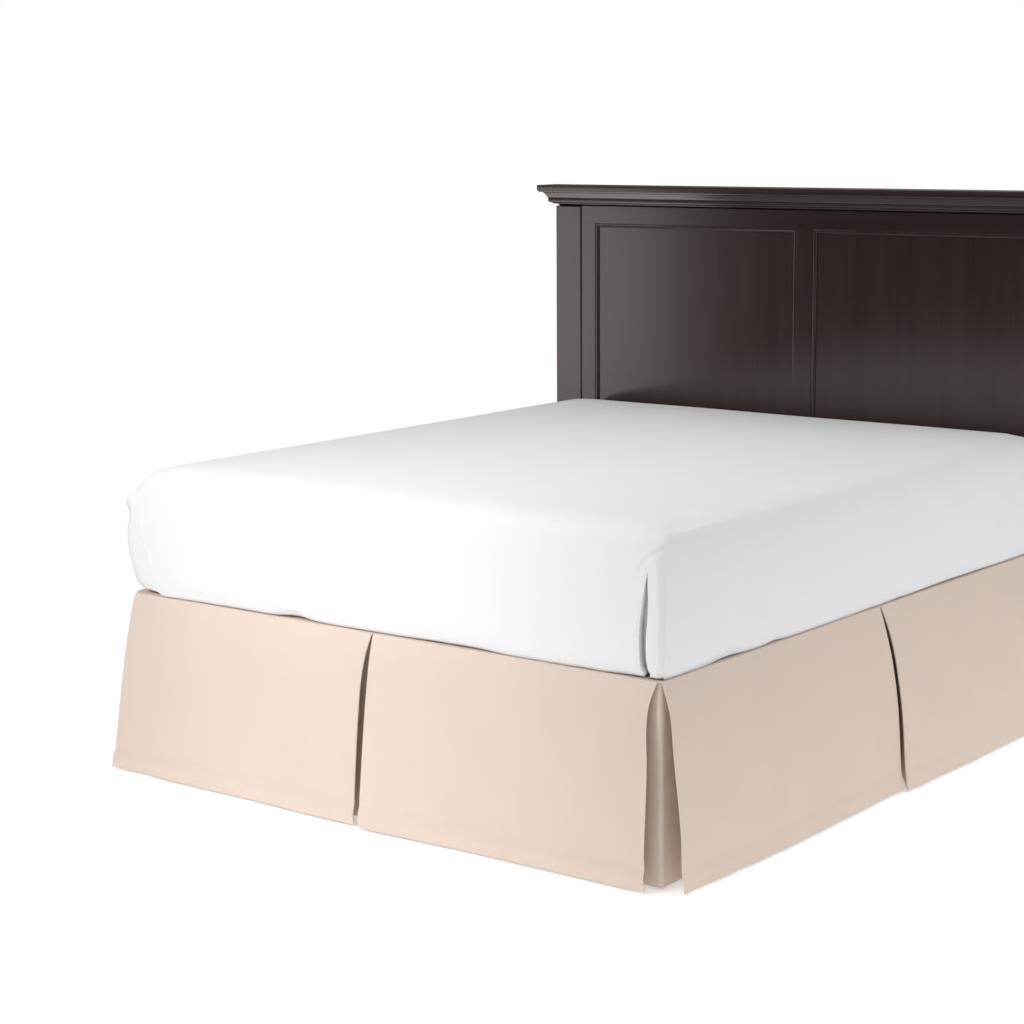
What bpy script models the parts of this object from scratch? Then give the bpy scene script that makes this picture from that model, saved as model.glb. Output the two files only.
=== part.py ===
"""A tailored bed skirt on a plain bed.

The skirt is a flat platform that lies between mattress and box spring, with three
drops sewn to its edge. Each drop is one length of cloth with an inverted pleat at
its middle. The foot corners are split, and a corner piece hangs behind each split.
The mattress, box spring, frame and headboard carry the skirt and are kept plain.

Metres, +Z up. The bed's length runs along Y with the foot at -Y. The origin is on
the floor under the middle of the whole thing.
"""
import math

import bmesh
import bpy
from mathutils import Vector

# bed
BED_WIDTH = 1.60
BED_LENGTH = 1.90
GAP = 0.0003                # between pieces that touch

# skirt
SKIRT_TOP = 0.45            # upper face of the platform, above the floor
HEM_HEIGHT = 0.006          # hem above the floor
CLOTH = 0.0015
HEM_CLOTH = 0.0023          # the turned-up hem is doubled
HEM_DEPTH = 0.05
FOLD_RADIUS = 0.0015        # middle of the cloth round a pleat's fold
PLEAT_WIDTH = 0.11          # from the pleat's middle to its back fold
UNDERLAY_OUTSET = 0.010     # underlays hang almost straight
CORNER_OUTSET = 0.008
CORNER_LEG = 0.15           # corner piece along each side
CORNER_RADII = {1: 0.010, -1: 0.034}    # by side
HEAD_END = 1.893            # where the side drops stop, from the foot edge

# mattress in its cover
MATTRESS_BULGE = 0.006      # its sides stand out past the skirt's hanging line

# box spring and frame
SPRING_INSET = 0.0105       # its sides, in from the skirt's hanging line
SPRING_BOTTOM = 0.2283
SPRING_RADIUS = 0.034
RAIL_SIZE = 0.04
RAIL_X = 0.74
RAIL_BEVEL = 0.003
RAIL_START = 0.06
LEG_RADIUS = 0.018
LEG_SIDES = 12
LEG_ROWS = (0.22, 0.95, 1.70)
BRACKET_THICKNESS = 0.006
BRACKET_REACH = 0.875

# headboard
BOARD_FRONT = 1.9165        # front of its posts, from the foot edge
POST_DEPTH = 0.06
POST_OUTER = 0.891
POST_WIDTH = 0.0965
POST_BEVEL = 0.003
MEMBER_SETBACK = 0.004      # rails and stiles behind the posts' front
MEMBER_DEPTH = 0.034
STILE_WIDTH = 0.0505
MULLION_WIDTH = 0.054
PANEL_SETBACK = 0.011
PANEL_DEPTH = 0.012
LOW_RAIL = (0.33, 0.43)     # bottom and top of the lower rail
PANEL_TOP = 1.294
CROWN_BOTTOM = 1.346
CROWN_TOP = 1.410
CROWN_OVERHANG = 0.042

HALF_WIDTH = BED_WIDTH / 2
FOOT_REACH = 0.066 + HEM_CLOTH / 2
BACK = BOARD_FRONT + POST_DEPTH
FOOT_Y = (FOOT_REACH - BACK) / 2        # the bed's foot edge
DROP = SKIRT_TOP - HEM_HEIGHT
DECK_BOTTOM = SKIRT_TOP - CLOTH
UNDER_DECK = DECK_BOTTOM - GAP
HEM_LINE = 1 - HEM_DEPTH / DROP         # as a share of the drop
LAYER = 2 * FOLD_RADIUS                 # from one layer of a pleat to the next

# shares of the drop at which a drop has a row of points
ROWS = (0, 0.03, 0.08, 0.15, 0.24, 0.34, 0.46, 0.60, 0.75, HEM_LINE - 0.006, HEM_LINE, 1)

# Each drop is laid out by its length along the bed's side (from the bed's middle at
# the foot, and from the foot edge at the sides) and its set-out from the bed's edge.
# Edge tables: (share of the drop, place along the side).
# Hem tables: (place along the side, set-out of the hem).
FOOT_DROP = {
    "start_edge": ((0, -0.780), (0.11, -0.782), (0.22, -0.785), (0.45, -0.7965),
                   (0.69, -0.810), (0.92, -0.8235), (1, -0.833)),
    "fold_a": ((0, 0.0005), (0.10, -0.0045), (0.25, -0.0083), (0.60, -0.0070), (1, -0.0050)),
    "fold_b": ((0, 0.0035), (0.10, 0.0085), (0.28, 0.0121), (0.64, 0.0097), (1, 0.0040)),
    "end_edge": ((0, 0.789), (0.10, 0.778), (0.17, 0.776), (0.26, 0.778),
                 (0.38, 0.783), (0.66, 0.785), (0.84, 0.7855), (1, 0.790)),
    "hem_a": ((-0.84, 0.053), (-0.57, 0.055), (-0.25, 0.0565), (-0.09, 0.0585), (0.00, 0.0545)),
    "hem_b": ((0.00, 0.0655), (0.06, 0.066), (0.20, 0.060), (0.33, 0.0525),
              (0.60, 0.050), (0.80, 0.046)),
    "round_share": 0.55, "round_rate": 0.18,
}
RIGHT_DROP = {
    "start_edge": ((0, 0.0), (0.16, 0.0024), (0.285, -0.0053), (0.385, -0.0095), (0.615, -0.0103),
                   (0.743, -0.011), (0.868, -0.0155), (1, -0.011)),
    "fold_a": ((0, 0.9515), (0.10, 0.953), (0.34, 0.955), (0.55, 0.9535), (0.81, 0.944), (1, 0.9415)),
    "fold_b": ((0, 0.9545), (0.22, 0.9585), (0.41, 0.9595), (0.61, 0.9575), (0.81, 0.954), (1, 0.957)),
    "end_edge": ((0, HEAD_END), (1, HEAD_END)),
    "hem_a": ((-0.02, 0.067), (0.10, 0.066), (0.28, 0.0725), (0.49, 0.073),
              (0.71, 0.072), (0.83, 0.068), (0.96, 0.071)),
    "hem_b": ((0.94, 0.082), (1.04, 0.086), (1.29, 0.088), (1.55, 0.090), (HEAD_END, 0.086)),
    "round_share": 0.75, "round_rate": 0.40,
}
LEFT_DROP = {
    "start_edge": ((0, 0.030), (0.20, 0.026), (0.50, 0.016), (0.80, 0.008), (1, 0.008)),
    "fold_a": ((0, 0.9485), (0.20, 0.945), (0.50, 0.944), (0.80, 0.942), (1, 0.944)),
    "fold_b": ((0, 0.9515), (0.20, 0.954), (0.50, 0.956), (0.80, 0.953), (1, 0.951)),
    "end_edge": ((0, HEAD_END), (1, HEAD_END)),
    "hem_a": ((0, 0.056), (0.25, 0.064), (0.50, 0.070), (0.75, 0.071), (0.95, 0.066)),
    "hem_b": ((0.94, 0.074), (1.20, 0.079), (1.50, 0.076), (HEAD_END, 0.070)),
    "round_share": 0.75, "round_rate": 0.40,
}
PANEL_STEPS = 9             # columns of faces across half a drop
RETURN_STEPS = 3
UNDERLAY_STEPS = 4
FOLD_STEPS = 4
LEG_STEPS = 3
CORNER_STEPS = 5
PLATFORM_RADII = (0.034, 0.010, 0.010, 0.010)      # its corners, from the left one at the foot

# mattress levels from the bottom up: (inset from its widest, plan radius of its
# upright corners, height)
MATTRESS_LEVELS = ((0.014, 0.075, 0.4503), (0.007, 0.068, 0.457), (0.002, 0.055, 0.476),
                   (0.0, 0.042, 0.520), (0.0, 0.038, 0.600), (0.004, 0.038, 0.660),
                   (0.013, 0.040, 0.706), (0.028, 0.045, 0.738), (0.050, 0.050, 0.755),
                   (0.085, 0.050, 0.764), (0.170, 0.050, 0.769), (0.360, 0.050, 0.773))
MATTRESS_TOP = 0.776
# its upright corners in turn: (side, 1 at the head, first angle)
MATTRESS_CORNERS = ((1, 0, -90), (1, 1, 0), (-1, 1, 90), (-1, 0, 180))
CORNER_TURNS = 5
LONG_SIDE_STEPS = 5
SHORT_SIDE_STEPS = 4
# upright folds of the cover beside the foot corners: side -> (top of the fold, depth)
TUCKS = {1: (0.690, 0.018), -1: (0.670, 0.007)}
TUCK_PLACES = (0.003, 0.011, 0.022)     # from the corner; the middle one is drawn in

# crown moulding, top to bottom: (share of the overhang, height)
CROWN_STEPS = ((1.0, CROWN_TOP), (1.0, 1.392), (0.90, 1.390), (0.62, 1.3855), (0.50, 1.381),
               (0.42, 1.374), (0.37, 1.361), (0.14, 1.354), (0.02, CROWN_BOTTOM + GAP))

COLOURS = {
    "skirt": ((0.74, 0.63, 0.54), 0.85, 0.0),
    "cover": ((0.86, 0.86, 0.86), 0.85, 0.0),
    "ticking": ((0.72, 0.71, 0.68), 0.80, 0.0),
    "wood": ((0.055, 0.042, 0.038), 0.40, 0.0),
    "steel": ((0.10, 0.10, 0.11), 0.45, 0.8),
}


def clear_scene():
    for item in list(bpy.data.objects):
        bpy.data.objects.remove(item, do_unlink=True)


def material(name, slot):
    colour, roughness, metallic = COLOURS[slot]
    made = bpy.data.materials.new(name)
    made.use_nodes = True
    shader = made.node_tree.nodes["Principled BSDF"]
    shader.inputs["Base Color"].default_value = (*colour, 1)
    shader.inputs["Roughness"].default_value = roughness
    shader.inputs["Metallic"].default_value = metallic
    return made


def add_object(name, slot, points, faces, smooth_degrees=0):
    """One closed body with its own material."""
    mesh = bpy.data.meshes.new(name)
    mesh.from_pydata([tuple(p) for p in points], [], faces)
    shape = bmesh.new()
    shape.from_mesh(mesh)
    bmesh.ops.recalc_face_normals(shape, faces=shape.faces)
    shape.to_mesh(mesh)
    shape.free()
    mesh.materials.append(material(name, slot))
    if smooth_degrees:
        mesh.shade_smooth()
        mesh.set_sharp_from_angle(angle=math.radians(smooth_degrees))
    made = bpy.data.objects.new(name, mesh)
    bpy.context.scene.collection.objects.link(made)
    return made


def curve(table, at):
    """A smooth curve through a table's (place, value) rows."""
    places = [row[0] for row in table]
    values = [row[1] for row in table]
    if at <= places[0]:
        return values[0]
    if at >= places[-1]:
        return values[-1]
    i = max(k for k in range(len(places) - 1) if places[k] <= at)
    slopes = [(values[k + 1] - values[k]) / (places[k + 1] - places[k]) for k in range(len(places) - 1)]

    def tangent(k):
        near = slopes[max(k - 1, 0)]
        far = slopes[min(k, len(slopes) - 1)]
        return (near + far) / 2

    span = places[i + 1] - places[i]
    t = (at - places[i]) / span
    start = (1 + 2 * t) * (1 - t) ** 2 * values[i] + t * (1 - t) ** 2 * span * tangent(i)
    end = t * t * (3 - 2 * t) * values[i + 1] + t * t * (t - 1) * span * tangent(i + 1)
    return start + end


def blend(a, b, share):
    return a + (b - a) * share


def hanging(drop, share):
    """How far out the cloth hangs at a share of the drop: 0 at the top, 1 at the hem."""
    rounded = (1 - math.exp(-share / drop["round_rate"])) / (1 - math.exp(-1 / drop["round_rate"]))
    return drop["round_share"] * rounded + (1 - drop["round_share"]) * share


def offset_path(path, distance):
    """The plan path moved sideways, with mitred corners."""
    moved = []
    last = len(path) - 1
    for i, point in enumerate(path):
        back = path[max(i - 1, 0)]
        ahead = path[min(i + 1, last)]
        normals = []
        for a, b in ((back, point), (point, ahead)):
            along = Vector((b[0] - a[0], b[1] - a[1]))
            if along.length > 0:
                along.normalize()
                normals.append(Vector((-along.y, along.x)))
        total = normals[0] + normals[-1]
        scale = distance / (1 + normals[0].dot(normals[-1]))
        moved.append((point[0] + total.x * scale, point[1] + total.y * scale))
    return moved


def half_turn(x, y, turn_from, turn_to):
    """Points round a fold, between but not at its two ends."""
    points = []
    for k in range(1, FOLD_STEPS):
        angle = math.radians(blend(turn_from, turn_to, k / FOLD_STEPS))
        points.append((x + FOLD_RADIUS * math.cos(angle), y + FOLD_RADIUS * math.sin(angle)))
    return points


def pleated_path(drop, share):
    """Plan of a drop at one height: front, return, underlay, return, front."""
    out = hanging(drop, share)
    clear = FOLD_RADIUS + CLOTH / 2
    start = curve(drop["start_edge"], share)
    end = curve(drop["end_edge"], share)
    turn_a = curve(drop["fold_a"], share) - clear
    turn_b = curve(drop["fold_b"], share) + clear
    middle = (turn_a + turn_b) / 2
    under = -2 * LAYER + UNDERLAY_OUTSET * share
    back_a = middle - PLEAT_WIDTH
    back_b = middle + PLEAT_WIDTH

    def front(place, hem):
        return place, curve(drop[hem], place) * out

    set_a = front(turn_a, "hem_a")[1]
    set_b = front(turn_b, "hem_b")[1]
    path = [front(blend(start, turn_a, k / PANEL_STEPS), "hem_a") for k in range(PANEL_STEPS + 1)]
    path += half_turn(turn_a, set_a - FOLD_RADIUS, 90, -90)
    for k in range(RETURN_STEPS + 1):
        part = k / RETURN_STEPS
        path.append((blend(turn_a, back_a, part), blend(set_a - LAYER, under + LAYER, part)))
    path += half_turn(back_a, under + FOLD_RADIUS, 90, 270)
    path += [(blend(back_a, back_b, k / UNDERLAY_STEPS), under) for k in range(UNDERLAY_STEPS + 1)]
    path += half_turn(back_b, under + FOLD_RADIUS, -90, 90)
    for k in range(RETURN_STEPS + 1):
        part = k / RETURN_STEPS
        path.append((blend(back_b, turn_b, part), blend(under + LAYER, set_b - LAYER, part)))
    path += half_turn(turn_b, set_b - FOLD_RADIUS, 270, 90)
    path += [front(blend(turn_b, end, k / PANEL_STEPS), "hem_b") for k in range(PANEL_STEPS + 1)]
    return path


def sheet_solid(name, rows, to_world):
    """A closed sheet from rows of (outer face, inner face, heights), top row first."""
    columns = len(rows[0][0])
    points = []
    for outer, inner, heights in rows:
        points += [to_world(x, y, z) for (x, y), z in zip(outer, heights)]
        points += [to_world(x, y, z) for (x, y), z in zip(inner, heights)]
    faces = []
    for r in range(len(rows) - 1):
        top = r * 2 * columns
        low = top + 2 * columns
        for c in range(columns - 1):
            faces.append((top + c, top + c + 1, low + c + 1, low + c))
            inner = top + columns + c
            faces.append((inner + 1, inner, inner + 2 * columns, inner + 2 * columns + 1))
        for c in (0, columns - 1):
            faces.append((top + c, low + c, low + columns + c, top + columns + c))
    for first in (0, (len(rows) - 1) * 2 * columns):
        for c in range(columns - 1):
            faces.append((first + c, first + columns + c, first + columns + c + 1, first + c + 1))
    return add_object(name, "skirt", points, faces, smooth_degrees=50)


def cloth_thickness(share):
    return CLOTH if share < HEM_LINE else HEM_CLOTH


def pleated_drop(name, drop, to_world):
    """The front layers are sewn beside the platform's edge and the rest hangs under it."""
    rows = []
    for share in ROWS:
        path = pleated_path(drop, share)
        half = cloth_thickness(share) / 2
        hidden_end = len(path) - PANEL_STEPS - 1
        heights = []
        for c in range(len(path)):
            sewn_high = c < PANEL_STEPS or c > hidden_end
            top = SKIRT_TOP if sewn_high else UNDER_DECK
            heights.append(blend(top, HEM_HEIGHT, share))
        rows.append((offset_path(path, half), offset_path(path, -half), heights))
    return sheet_solid(name, rows, to_world)


def corner_path(share, radius):
    """Plan of a corner piece, from its end at the foot, round the corner, up the side."""
    line = LAYER - CORNER_OUTSET * share
    bend_x = HALF_WIDTH - line - radius
    path = []
    for k in range(LEG_STEPS):
        path.append((bend_x - CORNER_LEG * (1 - k / LEG_STEPS), line))
    for k in range(CORNER_STEPS + 1):
        angle = math.radians(blend(-90, 0, k / CORNER_STEPS))
        path.append((bend_x + radius * math.cos(angle), line + radius + radius * math.sin(angle)))
    for k in range(1, LEG_STEPS + 1):
        path.append((HALF_WIDTH - line, line + radius + CORNER_LEG * k / LEG_STEPS))
    return path


def corner_underlay(name, side):
    rows = []
    for share in ROWS:
        path = corner_path(share, CORNER_RADII[side])
        half = cloth_thickness(share) / 2
        heights = [blend(UNDER_DECK, HEM_HEIGHT, share)] * len(path)
        rows.append((offset_path(path, half), offset_path(path, -half), heights))
    return sheet_solid(name, rows, lambda x, y, z: (side * x, FOOT_Y + y, z))


def block(name, slot, low, high, bevel=0.0):
    """A plain box between two corners, y measured from the foot edge."""
    xs = (low[0], high[0])
    ys = (FOOT_Y + low[1], FOOT_Y + high[1])
    zs = (low[2], high[2])
    points = [(x, y, z) for z in zs for y in ys for x in xs]
    faces = [(0, 2, 3, 1), (4, 5, 7, 6), (0, 1, 5, 4), (1, 3, 7, 5), (3, 2, 6, 7), (2, 0, 4, 6)]
    made = add_object(name, slot, points, faces)
    if bevel:
        modifier = made.modifiers.new("Bevel", "BEVEL")
        modifier.width = bevel
        modifier.segments = 1
    return made


def rounded_slab(name, slot, inset, far, radii, low, high):
    """A flat slab with rounded upright corners, the radii from the left one at the foot."""
    reach = HALF_WIDTH - inset
    corners = ((-1, inset, 180), (1, inset, 270), (1, far, 0), (-1, far, 90))
    points = []
    for z in (low, high):
        for (side, y, first), radius in zip(corners, radii):
            centre_x = side * (reach - radius)
            centre_y = y + radius if y == inset else y - radius
            for k in range(CORNER_STEPS + 1):
                angle = math.radians(first + 90 * k / CORNER_STEPS)
                points.append((centre_x + radius * math.cos(angle),
                               FOOT_Y + centre_y + radius * math.sin(angle), z))
    count = len(points) // 2
    faces = [tuple(range(count)), tuple(range(count, 2 * count))]
    for k in range(count):
        after = (k + 1) % count
        faces.append((k, after, count + after, count + k))
    add_object(name, slot, points, faces, smooth_degrees=40)


def skirt():
    rounded_slab("skirt_platform", "skirt", CLOTH / 2 + GAP, BED_LENGTH, PLATFORM_RADII, DECK_BOTTOM, SKIRT_TOP)
    pleated_drop("skirt_drop_foot", FOOT_DROP, lambda s, d, z: (s, FOOT_Y - d, z))
    pleated_drop("skirt_drop_right", RIGHT_DROP, lambda s, d, z: (HALF_WIDTH + d, FOOT_Y + s, z))
    pleated_drop("skirt_drop_left", LEFT_DROP, lambda s, d, z: (-HALF_WIDTH - d, FOOT_Y + s, z))
    corner_underlay("skirt_corner_right", 1)
    corner_underlay("skirt_corner_left", -1)


def tuck(side, z):
    """How far the cover's fold beside a foot corner is drawn in."""
    top, depth = TUCKS[side]
    share = (z - SKIRT_TOP) / (top - SKIRT_TOP)
    if not 0 < share < 1:
        return 0.0
    return depth * math.sqrt(math.sin(math.pi * share))


def foot_side(start, end, z):
    """Points along the foot face between its corners, with a fold beside each."""
    steps = SHORT_SIDE_STEPS
    edge = TUCK_PLACES[-1]
    middle = TUCK_PLACES[1]
    points = [(start[0] + p, start[1] + (tuck(-1, z) if p == middle else 0)) for p in TUCK_PLACES]
    points += [(blend(start[0] + edge, end[0] - edge, k / steps), start[1]) for k in range(1, steps)]
    points += [(end[0] - p, end[1] + (tuck(1, z) if p == middle else 0)) for p in reversed(TUCK_PLACES)]
    return points


def mattress_ring(inset, radius, z):
    """One level of the mattress, all the way round."""
    reach = HALF_WIDTH + MATTRESS_BULGE - inset - radius
    near = inset - MATTRESS_BULGE + radius
    far = BED_LENGTH - inset - radius
    corners = []
    for side, head, first in MATTRESS_CORNERS:
        points = []
        for k in range(CORNER_TURNS + 1):
            angle = math.radians(first + 90 * k / CORNER_TURNS)
            points.append((side * reach + radius * math.cos(angle),
                           blend(near, far, head) + radius * math.sin(angle)))
        corners.append(points)
    ring = []
    for i, points in enumerate(corners):
        ring += points
        start = points[-1]
        end = corners[(i + 1) % 4][0]
        if i == 3:
            ring += foot_side(start, end, z)
        else:
            steps = SHORT_SIDE_STEPS if i == 1 else LONG_SIDE_STEPS
            ring += [(blend(start[0], end[0], k / steps), blend(start[1], end[1], k / steps))
                     for k in range(1, steps)]
    return ring


def mattress():
    """One filled body: crowned on top, drawn in at the bottom."""
    rings = [mattress_ring(*level) for level in MATTRESS_LEVELS]
    count = len(rings[0])
    points = [(x, FOOT_Y + y, level[-1]) for level, ring in zip(MATTRESS_LEVELS, rings) for x, y in ring]
    faces = []
    for r in range(len(rings) - 1):
        for c in range(count):
            after = (c + 1) % count
            faces.append((r * count + c, r * count + after, (r + 1) * count + after, (r + 1) * count + c))
    middle_y = FOOT_Y + BED_LENGTH / 2
    bottom = len(points)
    points.append((0, middle_y, MATTRESS_LEVELS[0][-1]))
    points.append((0, middle_y, MATTRESS_TOP))
    last_ring = (len(rings) - 1) * count
    for c in range(count):
        after = (c + 1) % count
        faces.append((after, c, bottom))
        faces.append((last_ring + c, last_ring + after, bottom + 1))
    add_object("mattress", "cover", points, faces, smooth_degrees=60)


def box_spring():
    rounded_slab("box_spring", "ticking", SPRING_INSET, BED_LENGTH - GAP, (SPRING_RADIUS,) * 4,
                 SPRING_BOTTOM, UNDER_DECK)


def leg(name, x, y, height):
    """A round leg that stands on the floor."""
    points = []
    for z in (0, height):
        for k in range(LEG_SIDES):
            angle = 2 * math.pi * k / LEG_SIDES
            points.append((x + LEG_RADIUS * math.cos(angle), FOOT_Y + y + LEG_RADIUS * math.sin(angle), z))
    faces = [tuple(range(LEG_SIDES)), tuple(range(LEG_SIDES, 2 * LEG_SIDES))]
    for k in range(LEG_SIDES):
        after = (k + 1) % LEG_SIDES
        faces.append((k, after, LEG_SIDES + after, LEG_SIDES + k))
    add_object(name, "steel", points, faces, smooth_degrees=40)


def bed_frame():
    """Two side rails and cross bars on legs, with a bracket to each post."""
    low = SPRING_BOTTOM - GAP - RAIL_SIZE
    high = SPRING_BOTTOM - GAP
    bracket_front = BOARD_FRONT - GAP - BRACKET_THICKNESS
    half = RAIL_SIZE / 2
    for side, word in ((1, "right"), (-1, "left")):
        inner, outer = sorted((side * (RAIL_X - half), side * (RAIL_X + half)))
        block(f"side_rail_{word}", "steel", (inner, RAIL_START, low), (outer, bracket_front - GAP, high),
              bevel=RAIL_BEVEL)
        ends = sorted((side * (RAIL_X - RAIL_SIZE), side * BRACKET_REACH))
        block(f"head_bracket_{word}", "steel", (ends[0], bracket_front, low - half),
              (ends[1], bracket_front + BRACKET_THICKNESS, high + half))
    for row, y in enumerate(LEG_ROWS, 1):
        block(f"cross_bar_{row}", "steel", (half + GAP - RAIL_X, y - half, low),
              (RAIL_X - half - GAP, y + half, high))
        for x, word in ((-RAIL_X, "left"), (0, "middle"), (RAIL_X, "right")):
            leg(f"leg_{word}_{row}", x, y, low - GAP)


def headboard():
    """Two posts, rails and stiles round two sunk panels, and a crown on top."""
    inner = POST_OUTER - POST_WIDTH
    front = BOARD_FRONT + MEMBER_SETBACK
    back = front + MEMBER_DEPTH
    panel_front = BOARD_FRONT + PANEL_SETBACK
    stile_inner = inner - STILE_WIDTH
    half_mullion = MULLION_WIDTH / 2
    for side, word in ((1, "right"), (-1, "left")):
        xs = sorted((side * inner, side * POST_OUTER))
        block(f"post_{word}", "wood", (xs[0], BOARD_FRONT, 0), (xs[1], BACK, CROWN_BOTTOM), bevel=POST_BEVEL)
        xs = sorted((side * stile_inner, side * (inner - GAP)))
        block(f"stile_{word}", "wood", (xs[0], front, LOW_RAIL[1] + GAP), (xs[1], back, PANEL_TOP - GAP))
        xs = sorted((side * (half_mullion + GAP), side * (stile_inner - GAP)))
        block(f"panel_{word}", "wood", (xs[0], panel_front, LOW_RAIL[1] + GAP),
              (xs[1], panel_front + PANEL_DEPTH, PANEL_TOP - GAP))
    block("mullion", "wood", (-half_mullion, front, LOW_RAIL[1] + GAP), (half_mullion, back, PANEL_TOP - GAP))
    block("rail_top", "wood", (GAP - inner, front, PANEL_TOP), (inner - GAP, back, CROWN_BOTTOM))
    block("rail_low", "wood", (GAP - inner, front, LOW_RAIL[0]), (inner - GAP, back, LOW_RAIL[1]))


def crown():
    """A moulding mitred round the front and both ends, flat at the back."""
    points = []
    for share, z in CROWN_STEPS:
        out = CROWN_OVERHANG * share
        for x, y in ((-1, 0), (1, 0), (1, 1), (-1, 1)):
            points.append((x * (POST_OUTER + out), FOOT_Y + (BACK if y else BOARD_FRONT - out), z))
    faces = [(0, 1, 2, 3)]
    for r in range(len(CROWN_STEPS) - 1):
        for k in range(4):
            after = (k + 1) % 4
            faces.append((4 * r + k, 4 * r + after, 4 * r + 4 + after, 4 * r + 4 + k))
    last = 4 * len(CROWN_STEPS) - 4
    faces.append((last, last + 1, last + 2, last + 3))
    add_object("crown", "wood", points, faces)


clear_scene()
skirt()
mattress()
box_spring()
bed_frame()
headboard()
crown()
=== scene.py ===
# A tailored bed skirt on its bed, with mattress, box spring, headboard, steel frame and a pale studio.
import math

import bmesh
import bpy
import numpy as np
from mathutils import Matrix, Vector


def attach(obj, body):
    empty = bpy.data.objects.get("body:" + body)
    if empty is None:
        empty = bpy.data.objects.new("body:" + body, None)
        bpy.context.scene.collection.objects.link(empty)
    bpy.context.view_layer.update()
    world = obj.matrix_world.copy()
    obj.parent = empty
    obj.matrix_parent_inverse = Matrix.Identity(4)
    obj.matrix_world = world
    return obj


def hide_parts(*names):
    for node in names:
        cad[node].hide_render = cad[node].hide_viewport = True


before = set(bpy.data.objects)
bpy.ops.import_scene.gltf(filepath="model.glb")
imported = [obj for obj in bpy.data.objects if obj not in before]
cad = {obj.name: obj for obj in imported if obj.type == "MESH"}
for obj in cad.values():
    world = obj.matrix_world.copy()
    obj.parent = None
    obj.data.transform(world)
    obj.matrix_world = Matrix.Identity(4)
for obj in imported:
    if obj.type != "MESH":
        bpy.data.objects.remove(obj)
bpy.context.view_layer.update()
scene = bpy.context.scene

bed = {
    "halfWidth": 0.8,
    "length": 1.9,
    "footEdge": -0.954675,  # y of the bed's foot edge
    "skirtTop": 0.45,
    "hemHeight": 0.006,
    "touch": 0.0003,  # between pieces that touch
}
dropLength = bed["skirtTop"] - bed["hemHeight"]


# shared helpers

def readTable(rows, at):
    # a smooth curve through (place, value) rows
    places = np.array([row[0] for row in rows], float)
    values = np.array([row[1] for row in rows], float)
    slopes = np.diff(values) / np.diff(places)
    tangents = np.concatenate([slopes[:1], (slopes[1:] + slopes[:-1]) / 2, slopes[-1:]])
    at = np.clip(np.asarray(at, float), places[0], places[-1])
    i = np.clip(np.searchsorted(places, at, side="right") - 1, 0, len(places) - 2)
    span = places[i + 1] - places[i]
    t = (at - places[i]) / span
    low = (1 + 2 * t) * (1 - t) ** 2 * values[i] + t * (1 - t) ** 2 * span * tangents[i]
    return low + t * t * (3 - 2 * t) * values[i + 1] + t * t * (t - 1) * span * tangents[i + 1]


def bell(distance, width):
    return np.exp(-(distance / width) ** 2)


def ease(value, start, end):
    t = np.clip((value - start) / (end - start), 0, 1)
    return t * t * (3 - 2 * t)


def ripple(x, y, size, seed):
    # a soft irregular wave, about -1 to 1, with humps of roughly this size
    picks = np.random.default_rng(seed)
    total = 0
    for turn in np.linspace(0, math.pi, 6, endpoint=False) + picks.uniform(0, 0.5, 6):
        pace = 2 * math.pi / (size * picks.uniform(1.4, 3.0))
        total = total + np.sin((x * math.cos(turn) + y * math.sin(turn)) * pace + picks.uniform(0, 6.3))
    return total / 3.2


def addMesh(name, points, faces, finish, uv=None, sharp=50):
    mesh = bpy.data.meshes.new(name)
    mesh.from_pydata([tuple(p) for p in points], [], faces)
    if uv is not None:
        layer = mesh.uv_layers.new(name="clothMetres")
        corners = np.empty(len(mesh.loops), dtype=np.int32)
        mesh.loops.foreach_get("vertex_index", corners)
        layer.data.foreach_set("uv", np.asarray(uv, np.float32)[corners].ravel())
    shape = bmesh.new()
    shape.from_mesh(mesh)
    bmesh.ops.recalc_face_normals(shape, faces=shape.faces)
    shape.to_mesh(mesh)
    shape.free()
    mesh.materials.append(finish)
    mesh.shade_smooth()
    mesh.set_sharp_from_angle(angle=math.radians(sharp))
    made = bpy.data.objects.new(name, mesh)
    scene.collection.objects.link(made)
    return made


def gridFaces(rows, columns, first=0, closed=False):
    # quads of a grid of points laid out row by row
    faces = []
    for r in range(rows - 1):
        for c in range(columns if closed else columns - 1):
            a = first + r * columns + c
            b = first + r * columns + (c + 1) % columns
            faces.append((a, b, b + columns, a + columns))
    return faces


def tubeFaces(rows, columns):
    # rings of points joined into a tube that is closed at both ends
    ends = [tuple(range(columns)), tuple(range((rows - 1) * columns, rows * columns))]
    return gridFaces(rows, columns, 0, True) + ends


def clothFromLayers(name, outer, inner, uv, finish):
    # closes two grids of points, one for each face of the cloth
    rows, columns = outer.shape[:2]
    count = rows * columns
    faces = gridFaces(rows, columns) + gridFaces(rows, columns, count)
    for c in (0, columns - 1):
        for r in range(rows - 1):
            a, b = r * columns + c, (r + 1) * columns + c
            faces.append((a, b, b + count, a + count))
    for r in (0, rows - 1):
        for c in range(columns - 1):
            a = r * columns + c
            faces.append((a, a + 1, a + 1 + count, a + count))
    points = np.concatenate([outer.reshape(-1, 3), inner.reshape(-1, 3)])
    return addMesh(name, points, faces, finish, np.concatenate([uv.reshape(-1, 2)] * 2))


def place(piece, slotName, *stands):
    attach(piece, "root")
    if stands:
        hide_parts(*stands)
    return piece


# finishes

def setInputs(tree, node, inputs):
    for key, value in inputs.items():
        if isinstance(value, bpy.types.NodeSocket):
            tree.links.new(value, node.inputs[key])
        else:
            node.inputs[key].default_value = value


def addNode(tree, kind, inputs=None, **settings):
    made = tree.nodes.new(kind)
    for key, value in settings.items():
        setattr(made, key, value)
    setInputs(tree, made, inputs or {})
    return made


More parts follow.
